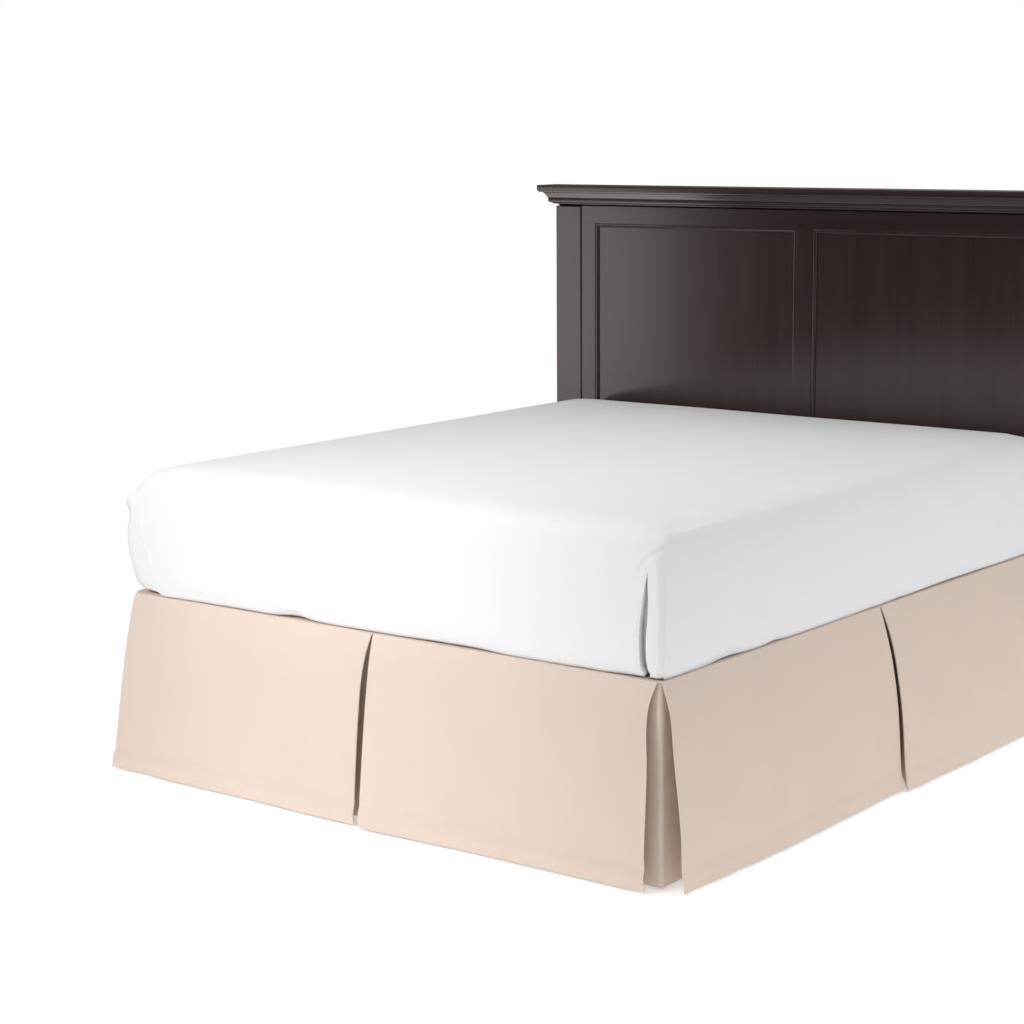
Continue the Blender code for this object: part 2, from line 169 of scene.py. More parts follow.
def sums(tree, operation, *values):
    node = addNode(tree, "ShaderNodeMath", dict(enumerate(values)), operation=operation)
    return node.outputs[0]


def stretchedNoise(tree, where, scale, detail=2.0, roughness=0.5, seed=0.0):
    moved = addNode(tree, "ShaderNodeMapping",
                    {"Vector": where, "Scale": scale, "Location": (seed, seed * 1.7, seed * 0.6)})
    noise = addNode(tree, "ShaderNodeTexNoise",
                    {"Vector": moved.outputs[0], "Scale": 1.0, "Detail": detail, "Roughness": roughness})
    return noise.outputs["Fac"]


def between(tree, value, low, high, toLow=0.0, toHigh=1.0):
    node = addNode(tree, "ShaderNodeMapRange",
                   {"Value": value, "From Min": low, "From Max": high, "To Min": toLow, "To Max": toHigh})
    return node.outputs[0]


def mixColours(tree, share, a, b, mode="MIX"):
    # inputs 6 and 7 and output 2 are the node's colours
    node = addNode(tree, "ShaderNodeMix", {0: share, 6: a, 7: b}, data_type="RGBA", blend_type=mode)
    return node.outputs[2]


def newFinish(name, shaderValues):
    finish = bpy.data.materials.new(name)
    finish.use_nodes = True
    shader = finish.node_tree.nodes["Principled BSDF"]
    setInputs(finish.node_tree, shader, shaderValues)
    return finish, finish.node_tree, shader


def tint(colour, factor):
    return (colour[0] * factor, colour[1] * factor, colour[2] * factor, 1)


# humps a metre of each pattern: cloth (along, down), wood (across, along the grain)
clothPatterns = {"acrossSlubs": (9, 620, 1), "downSlubs": (620, 9, 1), "streaks": (140, 5, 1),
                 "clouds": (7, 7, 1), "puckers": (55, 55, 1)}
woodPatterns = {"broad": (28, 1.3), "fine": (260, 4.0), "pores": (900, 26)}


def clothFinish(name, look):
    # a plain weave laid out in the cloth's own metres
    finish, tree, shader = newFinish(name, {"Specular IOR Level": look["gloss"],
                                            "Sheen Weight": look["sheen"], "Sheen Roughness": 0.5})
    flat = addNode(tree, "ShaderNodeUVMap", uv_map="clothMetres").outputs[0]
    parts = addNode(tree, "ShaderNodeSeparateXYZ", {0: flat})
    warp = sums(tree, "SINE", sums(tree, "MULTIPLY", parts.outputs[0], math.pi / look["thread"]))
    weft = sums(tree, "SINE", sums(tree, "MULTIPLY", parts.outputs[1], math.pi / look["thread"]))
    over = sums(tree, "GREATER_THAN", sums(tree, "MULTIPLY", warp, weft), 0.0)
    warpHeight = sums(tree, "MULTIPLY", sums(tree, "ABSOLUTE", warp), over)
    weftHeight = sums(tree, "MULTIPLY", sums(tree, "ABSOLUTE", weft), sums(tree, "SUBTRACT", 1.0, over))
    weave = sums(tree, "ADD", warpHeight, weftHeight)
    # thicker threads here and there, both ways
    p = clothPatterns
    slub = sums(tree, "ADD", *(between(tree, stretchedNoise(tree, flat, p[way], 3, 0.6, seed), 0.6, 0.78)
                               for way, seed in (("acrossSlubs", 1.3), ("downSlubs", 4.1))))
    streaks = stretchedNoise(tree, flat, p["streaks"], 3, 0.6, 7.7)
    cloudy = stretchedNoise(tree, flat, p["clouds"], 3, 0.5, 2.9)
    dye, vary = look["colour"], look["clouds"]
    shade = mixColours(tree, between(tree, cloudy, 0.35, 0.65), tint(dye, 1 - vary), tint(dye, 1 + vary))
    shade = mixColours(tree, between(tree, streaks, 0.3, 0.7, 0.0, look["streaks"]), shade, tint(dye, 0.9))
    shade = mixColours(tree, sums(tree, "MULTIPLY", slub, look["slubs"]), shade, tint(dye, 1.1))
    # painted shade: the cloth's colour is darkened where the threads dip between crossings
    weaveShade = between(tree, weave, 0.0, 0.6, look["gapShade"], 1.0)
    weaveShadeGreys = addNode(tree, "ShaderNodeCombineXYZ", {0: weaveShade, 1: weaveShade, 2: weaveShade}).outputs[0]
    shade = mixColours(tree, 1.0, shade, weaveShadeGreys, "MULTIPLY")
    rough = between(tree, cloudy, 0.3, 0.7, look["rough"] - 0.03, look["rough"] + 0.03)
    height = sums(tree, "ADD", weave, sums(tree, "MULTIPLY", slub, 0.6))
    bump = addNode(tree, "ShaderNodeBump",
                   {"Height": height, "Strength": look["relief"], "Distance": look["thread"] * 0.35})
    puckers = stretchedNoise(tree, flat, p["puckers"], 2, 0.5, 5.5)
    soft = addNode(tree, "ShaderNodeBump", {"Height": puckers, "Strength": 0.35, "Distance": look["pucker"],
                                            "Normal": bump.outputs[0]})
    setInputs(tree, shader, {"Base Color": shade, "Roughness": rough, "Normal": soft.outputs[0]})
    return finish


def woodFinish(name, along, seed, look):
    # stained wood under satin lacquer, its grain along one axis
    finish, tree, shader = newFinish(name, {"Specular IOR Level": look["gloss"]})
    where = addNode(tree, "ShaderNodeTexCoord").outputs["Object"]

    def grain(pattern, detail, roughness, shift):
        across, lengthways = woodPatterns[pattern]
        scale = tuple(lengthways if axis == along else across for axis in "xyz")
        return stretchedNoise(tree, where, scale, detail, roughness, seed + shift)

    broad, fine, pores = grain("broad", 4, 0.55, 0), grain("fine", 3, 0.6, 3.1), grain("pores", 2, 0.5, 6.4)
    pale, dark = look["bands"]
    stain = look["colour"]
    shade = mixColours(tree, between(tree, broad, 0.32, 0.68), tint(stain, dark), tint(stain, pale))
    shade = mixColours(tree, between(tree, fine, 0.35, 0.7, 0.0, 0.3), shade, tint(stain, look["lines"]))
    openPores = between(tree, pores, 0.62, 0.72)
    shade = mixColours(tree, sums(tree, "MULTIPLY", openPores, 0.25), shade, tint(stain, look["poreTint"]))
    rough = between(tree, broad, 0.3, 0.7, look["rough"] - 0.006, look["rough"] + 0.008)
    height = sums(tree, "SUBTRACT", sums(tree, "MULTIPLY", fine, 0.5), openPores)
    bump = addNode(tree, "ShaderNodeBump", {"Height": height, "Strength": 0.05, "Distance": 0.0004})
    setInputs(tree, shader, {"Base Color": shade, "Roughness": rough, "Normal": bump.outputs[0]})
    return finish


skirtCloth = clothFinish("sandPlainWeave", {
    "colour": (0.775, 0.645, 0.558),
    "thread": 0.00055, "relief": 0.55, "gapShade": 0.86, "pucker": 0.0012,
    "clouds": 0.01, "streaks": 0.12, "slubs": 0.18, "gloss": 0.25, "sheen": 0.12, "rough": 0.88,
})
coverCloth = clothFinish("whiteSateen", {
    "colour": (0.866, 0.87, 0.873),
    "thread": 0.00032, "relief": 0.35, "gapShade": 0.95, "pucker": 0.0008,
    "clouds": 0.006, "streaks": 0.06, "slubs": 0.1, "gloss": 0.3, "sheen": 0.08, "rough": 0.78,
})
tickingCloth = clothFinish("boxTicking", {
    "colour": (0.7, 0.69, 0.66),
    "thread": 0.0007, "relief": 0.6, "gapShade": 0.82, "pucker": 0.001,
    "clouds": 0.02, "streaks": 0.3, "slubs": 0.2, "gloss": 0.25, "sheen": 0.1, "rough": 0.86,
})
woodLook = {
    "colour": (0.04, 0.0225, 0.0187), "gloss": 0.65, "rough": 0.19,
    "bands": (1.18, 0.84), "lines": 0.75, "poreTint": 0.6,  # shades of the grain
}
print("finishes ready")


# the skirt's three pleated drops

drops = {
    "cloth": 0.0015,
    "hemDepth": 0.05,
    "hemFold": 0.0008,  # the turned-up layer adds this inside
    "foldRadius": 0.0015,  # middle of the cloth round a pleat's fold
    "pleatWidth": 0.11,
    "underlayOutset": 0.01,
    "rows": 42,
    "panelColumns": 76,
    "returnColumns": 8,
    "underlayColumns": 14,
    "foldColumns": 6,
    "rounding": {0.9985: 1.0, 0.9995: 0.72, 1.0: 0.25},  # share of the drop: what is left of its half
    "hemRidge": (0.026, 0.014, 0.0019),  # above the hem's edge, width, height
    "stitchDip": (0.051, 0.007, -0.001),
    "hemUneven": (0.45, 0.11),  # how much these vary, size of the humps
    "frontWaves": (0.0007, 0.16),
}
# edge rows: (share of the drop, place along the side); hem rows: (place, set-out at the hem)
# folds: (place at the top, place at the hem, width, depth at the hem, share where it starts)
footDropShape = {
    "startEdge": ((0, -0.78), (0.11, -0.782), (0.22, -0.785), (0.45, -0.7965),
                  (0.69, -0.81), (0.92, -0.8235), (1, -0.833)),
    "foldA": ((0, 0.0005), (0.1, -0.006), (0.25, -0.0108), (0.4, -0.0125), (0.62, -0.0148), (1, -0.0172)),
    "foldB": ((0, 0.0035), (0.1, 0.0085), (0.28, 0.0121), (0.64, 0.0097), (1, 0.004)),
    "endEdge": ((0, 0.789), (0.1, 0.778), (0.17, 0.776), (0.26, 0.778),
                (0.38, 0.783), (0.66, 0.785), (0.84, 0.7855), (1, 0.79)),
    "hemA": ((-0.84, 0.053), (-0.57, 0.055), (-0.25, 0.0565), (-0.09, 0.0585), (0.00, 0.0545)),
    "hemB": ((0.00, 0.0655), (0.06, 0.066), (0.2, 0.06), (0.33, 0.0525),
             (0.6, 0.05), (0.8, 0.046)),
    "roundShare": 0.55, "roundRate": 0.18, "hemRelief": 2.4, "seed": 11,
    "folds": ((-0.69, -0.715, 0.028, -0.005, 0.0), (-0.6, -0.6, 0.045, 0.0016, 0.1),
              (-0.36, -0.35, 0.06, -0.0012, 0.2), (-0.13, -0.14, 0.04, 0.001, 0.2),
              (0.15, 0.16, 0.05, -0.0014, 0.1), (0.34, 0.36, 0.06, 0.0014, 0.2),
              (0.56, 0.55, 0.05, -0.0014, 0.1), (0.7, 0.72, 0.035, 0.0012, 0.2)),
}
rightDropShape = {
    "startEdge": ((0, 0.0), (0.16, 0.0024), (0.285, -0.0053), (0.385, -0.0095), (0.615, -0.0103),
                  (0.743, -0.011), (0.868, -0.0155), (1, -0.011)),
    "foldA": ((0, 0.938), (0.14, 0.938), (0.3, 0.941), (0.55, 0.9415), (0.76, 0.939),
              (0.88, 0.9392), (1, 0.9415)),
    "foldB": ((0, 0.9425), (0.14, 0.9485), (0.24, 0.9497), (0.4, 0.9475), (0.6, 0.9458), (0.78, 0.9432),
              (0.88, 0.9418), (1, 0.9446)),
    "endEdge": ((0, 1.893), (1, 1.893)),
    "hemA": ((-0.02, 0.067), (0.1, 0.066), (0.28, 0.0725), (0.49, 0.073),
             (0.71, 0.072), (0.83, 0.068), (0.96, 0.071)),
    "hemB": ((0.94, 0.082), (1.04, 0.086), (1.29, 0.088), (1.55, 0.09), (1.893, 0.086)),
    "roundShare": 0.75, "roundRate": 0.4, "hemRelief": 0.6, "seed": 23,
    "folds": ((0.08, 0.1, 0.035, 0.0012, 0.1), (0.22, 0.2, 0.04, -0.0016, 0.1),
              (0.43, 0.42, 0.055, 0.0014, 0.2), (0.61, 0.63, 0.045, -0.0014, 0.1),
              (0.8, 0.79, 0.035, 0.0012, 0.2), (1.08, 1.1, 0.05, -0.0016, 0.1),
              (1.3, 1.28, 0.06, 0.0014, 0.2), (1.52, 1.55, 0.05, -0.0014, 0.1),
              (1.74, 1.73, 0.05, 0.0012, 0.2)),
}
leftDropShape = {
    "startEdge": ((0, 0.03), (0.2, 0.026), (0.5, 0.016), (0.8, 0.008), (1, 0.008)),
    "foldA": ((0, 0.9485), (0.2, 0.945), (0.5, 0.944), (0.8, 0.942), (1, 0.944)),
    "foldB": ((0, 0.9515), (0.2, 0.954), (0.5, 0.956), (0.8, 0.953), (1, 0.951)),
    "endEdge": ((0, 1.893), (1, 1.893)),
    "hemA": ((0, 0.056), (0.25, 0.064), (0.5, 0.07), (0.75, 0.071), (0.95, 0.066)),
    "hemB": ((0.94, 0.074), (1.2, 0.079), (1.5, 0.076), (1.893, 0.07)),
    "roundShare": 0.75, "roundRate": 0.4, "hemRelief": 1.0, "seed": 37,
    "folds": ((0.12, 0.13, 0.04, -0.0014, 0.1), (0.31, 0.3, 0.05, 0.0014, 0.2),
              (0.55, 0.57, 0.05, -0.0016, 0.1), (0.78, 0.77, 0.04, 0.0012, 0.2),
              (1.12, 1.1, 0.05, 0.0014, 0.1), (1.37, 1.39, 0.055, -0.0014, 0.2),
              (1.62, 1.61, 0.05, 0.0012, 0.1)),
}


def hangOut(drop, share):
    # how far out the cloth hangs, 0 at the top and 1 at the hem
    rounded = (1 - np.exp(-share / drop["roundRate"])) / (1 - math.exp(-1 / drop["roundRate"]))
    return drop["roundShare"] * rounded + (1 - drop["roundShare"]) * share


def frontSetOut(drop, hemTable, along, share):
    out = readTable(hemTable, along) * hangOut(drop, share)
    for top, hem, width, depth, starts in drop["folds"]:
        centre = top + (hem - top) * share
        out = out + depth * bell(along - centre, width) * ease(share, starts, 0.95)
    tall, size = drops["frontWaves"]
    out = out + tall * ripple(along, share * dropLength, size, drop["seed"]) * ease(share, 0.02, 0.5)
    up = (1 - share) * dropLength
    vary, size = drops["hemUneven"]
    for height, width, depth in (drops["hemRidge"], drops["stitchDip"]):
        uneven = 1 + vary * ripple(along, up * 0, size, drop["seed"] + 5)
        out = out + depth * bell(up - height, width) * uneven * drop["hemRelief"]
    return out


def dropPlan(drop, share):
    # one height of a drop: front, return, underlay, return, front
    radius, layer = drops["foldRadius"], 2 * drops["foldRadius"]
    clear = radius + drops["cloth"] / 2
    start, end = readTable(drop["startEdge"], share), readTable(drop["endEdge"], share)
    turnA = readTable(drop["foldA"], share) - clear
    turnB = readTable(drop["foldB"], share) + clear
    under = -2 * layer + drops["underlayOutset"] * share
    backA = (turnA + turnB) / 2 - drops["pleatWidth"]
    backB = (turnA + turnB) / 2 + drops["pleatWidth"]

    def fold(x, y, first, last):
        angles = np.radians(np.linspace(first, last, drops["foldColumns"] + 1)[1:-1])
        return np.stack([x + radius * np.cos(angles), y + radius * np.sin(angles)], 1)

    def straight(x0, y0, x1, y1, columns):
        t = np.linspace(0, 1, columns + 1)
        bow = 0.0008 * np.sin(math.pi * t) * share
        return np.stack([x0 + (x1 - x0) * t, y0 + (y1 - y0) * t + bow], 1)

    spread = np.linspace(0, 1, drops["panelColumns"] + 1)
    frontA = start + (turnA - start) * spread
    frontB = turnB + (end - turnB) * spread
    outA = frontSetOut(drop, drop["hemA"], frontA, share)
    outB = frontSetOut(drop, drop["hemB"], frontB, share)
    return np.concatenate([
        np.stack([frontA, outA], 1), fold(turnA, outA[-1] - radius, 90, -90),
        straight(turnA, outA[-1] - layer, backA, under + layer, drops["returnColumns"]),
        fold(backA, under + radius, 90, 270),
        straight(backA, under, backB, under, drops["underlayColumns"]),
        fold(backB, under + radius, -90, 90),
        straight(backB, under + layer, turnB, outB[0] - layer, drops["returnColumns"]),
        fold(turnB, outB[0] - radius, 270, 90), np.stack([frontB, outB], 1)])


def sideways(path, distance):
    # a plan line moved sideways, mitred at its bends
    steps = np.diff(path, axis=0)
    steps /= np.linalg.norm(steps, axis=1)[:, None]
    normals = np.stack([-steps[:, 1], steps[:, 0]], 1)
    before = np.concatenate([normals[:1], normals])
    after = np.concatenate([normals, normals[-1:]])
    total = before + after
    return path + total * (distance / (1 + (before * after).sum(1)))[:, None]


def clothLayers(planAt, heightAt, toWorld):
    # outer and inner faces of a hanging cloth with a turned-up hem
    hemLine = 1 - drops["hemDepth"] / dropLength
    rounding = drops["rounding"]
    shares = np.concatenate([[0, 0.0022, 0.0045], np.linspace(0.01, hemLine - 0.012, drops["rows"]),
                             np.linspace(hemLine - 0.006, 0.996, 15), list(rounding)])
    half = drops["cloth"] / 2
    lengths = np.concatenate([[0], np.cumsum(np.linalg.norm(np.diff(planAt(0.5), axis=0), axis=1))])
    outer, inner, uv = [], [], []
    for share in shares:
        path = planAt(1.0 if share in rounding else share)
        keeps = rounding.get(share, 1.0)
        doubled = drops["hemFold"] * ease(share, hemLine - 0.003, hemLine + 0.006)
        heights = heightAt(share, len(path))
        outer.append(toWorld(sideways(path, half * keeps), heights))
        inner.append(toWorld(sideways(path, -(half + doubled) * keeps), heights))
        uv.append(np.stack([lengths, np.full(len(path), share * dropLength)], 1))
    return np.array(outer), np.array(inner), np.array(uv)


def makeDrop(name, drop, toWorld, cadName):
    sewn = drops["panelColumns"]

    def heightAt(share, count):
        # the fronts are sewn beside the platform's edge, the rest hangs from under it
        top = np.full(count, bed["skirtTop"] - drops["cloth"] - bed["touch"])
        top[:sewn] = bed["skirtTop"]
        top[-sewn:] = bed["skirtTop"]
        return top + (bed["hemHeight"] - top) * share

    outer, inner, uv = clothLayers(lambda share: dropPlan(drop, share), heightAt, toWorld)
    made = place(clothFromLayers(name, outer, inner, uv, skirtCloth), "skirt_cloth", cadName)


def asRows(x, y, z):
    return np.stack([x, y, z], 1)


def alongFoot(p, z):
    return asRows(p[:, 0], bed["footEdge"] - p[:, 1], z)


def alongSide(hand):
    return lambda p, z: asRows(hand * (bed["halfWidth"] + p[:, 1]), bed["footEdge"] + p[:, 0], z)


makeDrop("footDrop", footDropShape, alongFoot, "skirt_drop_foot")
makeDrop("rightDrop", rightDropShape, alongSide(1), "skirt_drop_right")
makeDrop("leftDrop", leftDropShape, alongSide(-1), "skirt_drop_left")
print("three pleated drops")


# the corner pieces that hang behind the split foot corners

cornerPiece = {
    "outset": 0.008,
    "leg": 0.15,
    "radii": {1: 0.01, -1: 0.034},
    "legColumns": 30,
    "bendColumns": 12,
    "hollow": (0.05, 0.035, -0.0016),  # from the bend, width, depth of the soft hollow beside it
    "drag": (0.3, 0.04, 0.001),  # a slanting soft crease: share of the drop, width, height
}


def cornerPlan(share, radius):
    c = cornerPiece
    line = 2 * drops["foldRadius"] - c["outset"] * share
    bendAt = bed["halfWidth"] - line - radius
    t = np.linspace(0, 1, c["legColumns"] + 1)
    away = c["leg"] * (1 - t)
    dent = c["hollow"][2] * bell(away - c["hollow"][0], c["hollow"][1]) * share
    slant = c["drag"][2] * bell((share - c["drag"][0] - away * 3.2) * dropLength, c["drag"][1])
    swell = dent + slant * ease(away, 0.0, 0.03)
    foot = np.stack([bendAt - away, line - swell], 1)
    angles = np.radians(np.linspace(-90, 0, c["bendColumns"] + 1))[1:-1]
    bend = np.stack([bendAt + radius * np.cos(angles), line + radius * (1 + np.sin(angles))], 1)
    side = np.stack([bed["halfWidth"] - line + dent[::-1], line + radius + away[::-1]], 1)
    return np.concatenate([foot, bend, side])


def makeCorner(name, hand, cadName):
    def heightAt(share, count):
        top = bed["skirtTop"] - drops["cloth"] - bed["touch"]
        return np.full(count, top + (bed["hemHeight"] - top) * share)

    radius = cornerPiece["radii"][hand]
    outer, inner, uv = clothLayers(lambda share: cornerPlan(share, radius), heightAt,
                                   lambda p, z: asRows(hand * p[:, 0], bed["footEdge"] + p[:, 1], z))
    made = place(clothFromLayers(name, inner, outer, uv, skirtCloth), "skirt_cloth", cadName)


makeCorner("rightCornerPiece", 1, "skirt_corner_right")
makeCorner("leftCornerPiece", -1, "skirt_corner_left")
print("corner pieces")


# the platform that lies between mattress and box spring

platformCut = {"columns": 64, "rows": 76, "edge": 0.00105}


def makePlatform():
    c = platformCut
    reach = bed["halfWidth"] - c["edge"]
    y = c["edge"] + (bed["length"] - c["edge"]) * (1 - np.cos(np.linspace(0, math.pi, c["rows"] + 1))) / 2
    along = np.linspace(-1, 1, c["columns"] + 1)

    def halfAt(side):
        # the edge draws in round the foot corner
        radius = cornerPiece["radii"][side]
        into = np.clip(radius - (y - c["edge"]), 0, radius)
        return reach - radius + np.sqrt(radius ** 2 - into ** 2)

    left, right = -halfAt(-1), halfAt(1)
    xs = left[:, None] + (right - left)[:, None] * (along + 1)[None, :] / 2
    ys = np.repeat(y[:, None], len(along), 1)
    top = np.full(xs.shape, bed["skirtTop"])
    low = np.full(xs.shape, bed["skirtTop"] - drops["cloth"])
    world = [np.stack([xs, bed["footEdge"] + ys, z], 2) for z in (top, low)]
    made = clothFromLayers("skirtPlatform", world[0], world[1], np.stack([xs, ys], 2), skirtCloth)
    place(made, "skirt_cloth", "skirt_platform")


makePlatform()
print("platform")


# the mattress in its white cover

mattress = {
    "bulge": 0.006,  # its walls stand out past the bed's edges
    # (inset from its widest, radius of its upright corners, of the crisp near one, height)
    "levels": ((0.055, 0.08, 0.02, 0.4503), (0.0135, 0.056, 0.011, 0.4505), (0.0098, 0.053, 0.012, 0.458),
               (0.0064, 0.05, 0.012, 0.47), (0.003, 0.046, 0.013, 0.492), (0.0006, 0.042, 0.014, 0.53),
               (0.0, 0.038, 0.015, 0.6), (0.004, 0.038, 0.017, 0.66), (0.013, 0.04, 0.022, 0.706),
               (0.028, 0.045, 0.032, 0.738), (0.05, 0.05, 0.045, 0.755), (0.085, 0.05, 0.05, 0.764),
               (0.17, 0.05, 0.05, 0.769), (0.36, 0.05, 0.05, 0.773), (0.6, 0.05, 0.05, 0.7755),
               (0.775, 0.025, 0.025, 0.776)),
    # how far the cover's lower edge lifts off the skirt: (place along the foot or side, lift)
    "footLift": ((-0.8, 0.007), (-0.71, 0.007), (-0.692, 0.001), (-0.64, 0.0), (-0.58, 0.001),
                 (-0.42, 0.0014), (-0.31, 0.0022), (-0.275, 0.0066), (-0.24, 0.0088), (-0.19, 0.003),
                 (-0.02, 0.0016), (0.06, 0.0018), (0.14, 0.0034), (0.32, 0.0038), (0.37, 0.001),
                 (0.46, 0.0), (0.6, 0.0008), (0.64, 0.0006), (0.69, 0.003), (0.76, 0.004), (0.8, 0.0052)),
    "sideLift": ((0.0, 0.004), (0.03, 0.0006), (0.18, 0.0006), (0.24, 0.0044), (0.29, 0.0046), (0.34, 0.001),
                 (0.42, 0.0004), (0.45, 0.003), (0.48, 0.0026), (0.51, 0.0002), (0.9, 0.0006), (1.1, 0.0016),
                 (1.3, 0.0034), (1.5, 0.0018), (1.9, 0.001)),
    "liftRate": 1.35,
    "edgeRipple": (0.0011, 0.07),  # height and size of the small humps along that edge
    "wallWaves": (0.0009, 0.22),
    "topWaves": (0.0012, 0.35),
    "boxedEdge": (0.7545, 0.004, -0.0013),  # height of the edge seam that shows through, width, depth
    # soft lines of the cover: (face, points as (along, height), width, height of the ridge)
    "lines": (
        ("foot", ((0.735, 0.65), (0.7394, 0.6752), (0.7494, 0.6996), (0.7594, 0.7113), (0.7694, 0.7177),
                  (0.7843, 0.7288), (0.7967, 0.7365), (0.812, 0.75)), 0.0048, -0.0025),
        ("foot", ((0.727, 0.66), (0.739, 0.703), (0.752, 0.7185), (0.768, 0.729), (0.79, 0.741)),
         0.0065, 0.0014),
        ("foot", ((0.744, 0.66), (0.7232, 0.6396), (0.7029, 0.6222), (0.67, 0.595)), 0.014, -0.0015),
        ("right", ((-0.03, 0.757), (0.0577, 0.7586), (0.1107, 0.7551), (0.1492, 0.7548), (0.1959, 0.7556),
                   (0.2274, 0.7575), (0.42, 0.761)), 0.005, -0.0024),
        ("foot", ((-0.305, 0.43), (-0.268, 0.444), (-0.24, 0.447), (-0.205, 0.43)), 0.013, -0.0065),
        ("foot", ((-0.4, 0.505), (-0.31, 0.484), (-0.22, 0.478)), 0.014, 0.0022),
        ("foot", ((-0.68, 0.49), (-0.6, 0.47), (-0.5, 0.462), (-0.38, 0.462)), 0.014, -0.0022),
        ("foot", ((-0.6, 0.54), (-0.52, 0.5), (-0.4, 0.476)), 0.025, -0.0014),
        ("foot", ((0.02, 0.476), (0.16, 0.466), (0.3, 0.47)), 0.018, -0.0016),
        ("foot", ((0.4, 0.465), (0.5, 0.474), (0.62, 0.466)), 0.016, 0.0014),
        ("right", ((0.12, 0.45), (0.24, 0.456), (0.34, 0.45)), 0.011, -0.005),
        ("right", ((0.34, 0.505), (0.4, 0.482), (0.47, 0.462)), 0.011, 0.003),
        ("right", ((0.43, 0.488), (0.47, 0.462), (0.505, 0.442)), 0.009, -0.006),
        ("right", ((0.25, 0.495), (0.275, 0.47), (0.28, 0.442)), 0.01, -0.005),
        ("right", ((0.6, 0.48), (0.8, 0.466), (1.00, 0.474)), 0.016, -0.0014),
        ("right", ((1.15, 0.47), (1.3, 0.462), (1.42, 0.472)), 0.014, -0.0022),
        ("left", ((0.15, 0.52), (0.24, 0.48), (0.3, 0.458)), 0.014, 0.0018),
        ("left", ((0.6, 0.47), (0.78, 0.462), (0.9, 0.474)), 0.016, -0.002),
        ("left", ((1.2, 0.5), (1.32, 0.472), (1.38, 0.458)), 0.012, 0.0018),
    ),
    # the fold beside the near corner: (height, its left lip, its right lip, depth)
    "nearFold": ((0.4503, 0.766, 0.78, 0.026), (0.458, 0.764, 0.778, 0.028), (0.474, 0.755, 0.7706, 0.03),
                 (0.495, 0.75, 0.7657, 0.03), (0.52, 0.7475, 0.7637, 0.03), (0.557, 0.7475, 0.7642, 0.03),
                 (0.588, 0.7505, 0.7671, 0.026), (0.624, 0.7557, 0.7682, 0.022),
                 (0.66, 0.7615, 0.7662, 0.012), (0.682, 0.7655, 0.767, 0.0),
                 (0.7, 0.7655, 0.767, 0.0), (0.776, 0.7655, 0.767, 0.0)),
    # the flap over the far corner: (height, place of its edge), then how far it stands out and dies away
    "flapEdge": ((0.4503, -0.6905), (0.458, -0.6945), (0.503, -0.7209), (0.575, -0.7531), (0.656, -0.7813),
                 (0.684, -0.788), (0.776, -0.788)),
    "flap": {"step": 0.0055, "reach": 0.09, "sink": 0.011, "slope": 0.04, "fold": 0.024,
             "tuck": (0.0013, 0.005)},
    "ear": (-0.798, 0.006, 0.684, 0.024, 0.02),  # x, y, z, width and height of the flap's top end
    "sideSwell": (0.014, 0.01, 0.06, 0.6, 0.09),  # height, y, its width, z, its width
    "lipSwells": ((0.0022, 0.01, 0.01), (0.001, 0.012, 0.009)),  # height, distance, width
    "fullDepth": 0.022,  # where the fold is this deep its lips swell fully
    "foldFloor": (0.3, 0.4),  # how much shallower it gets across, how far it leans
    "cornerRoll": (0.0011, 0.012, 0.005),
    "nearRun": 0.8136,  # round half the foot and the near corner, at the walls
    "farReach": 0.768,  # where the far corner begins to bend
    "farRadius": 0.038,
    "farRun": 0.8277,
    "wallLevels": 72,
    "cornerColumns": 14,
    "longColumns": 120,
    "footColumns": 90,
    "headColumns": 60,
}


def nearLine(along, height, points):
    # distance to a line drawn through points, and how far along it the nearest spot is
    best = np.full(along.shape, 9.0)
    spot = np.zeros(along.shape)
    fine = [np.array(p) for p in points]
    total = len(fine) - 1
    for i in range(total):
        a, b = fine[i], fine[i + 1]
        run = b - a
        t = np.clip(((along - a[0]) * run[0] + (height - a[1]) * run[1]) / (run @ run), 0, 1)
        away = np.hypot(along - a[0] - run[0] * t, height - a[1] - run[1] * t)
        closer = away < best
        best = np.where(closer, away, best)
        spot = np.where(closer, (i + t) / total, spot)
    return best, spot


def nearFoldAt(height):
    columns = ([(row[0], row[k]) for row in mattress["nearFold"]] for k in (1, 2, 3))
    return [max(0.0, float(readTable(rows, height))) for rows in columns]


def nearColumns(start, left, right, end):
    # columns that crowd round the two lips of the near fold
    size = end / 0.8
    k = min(1.0, (right - left) / (0.008 * size)) * size
    return np.concatenate([
        np.linspace(start, left - 0.005 * size, 16),
        left + size * np.array([-0.0036, -0.0022, -0.0011, -0.0004]),
        left + k * np.array([0.0002, 0.0006, 0.0011]), np.linspace(left + 0.0018 * k, right - 0.002 * k, 9),
        right - k * np.array([0.0013, 0.0006]),
        right + size * np.array([0.0, 0.0006, 0.0014, 0.0026, 0.0042]),
        np.linspace(right + 0.006 * size, end, 30)])


def farColumns(edge, end):
    # columns round the far corner that crowd to the flap's edge
    size = end / 0.8
    return np.concatenate([
        np.linspace(end, edge + 0.006 * size, 22),
        edge + size * np.array([0.0042, 0.0028, 0.0016, 0.0008, 0.0002]),
        edge - size * np.array([0.0003, 0.0008, 0.0014, 0.0021, 0.003, 0.0042]),
        np.linspace(edge - 0.006 * size, edge - 0.06 * size, 26)])


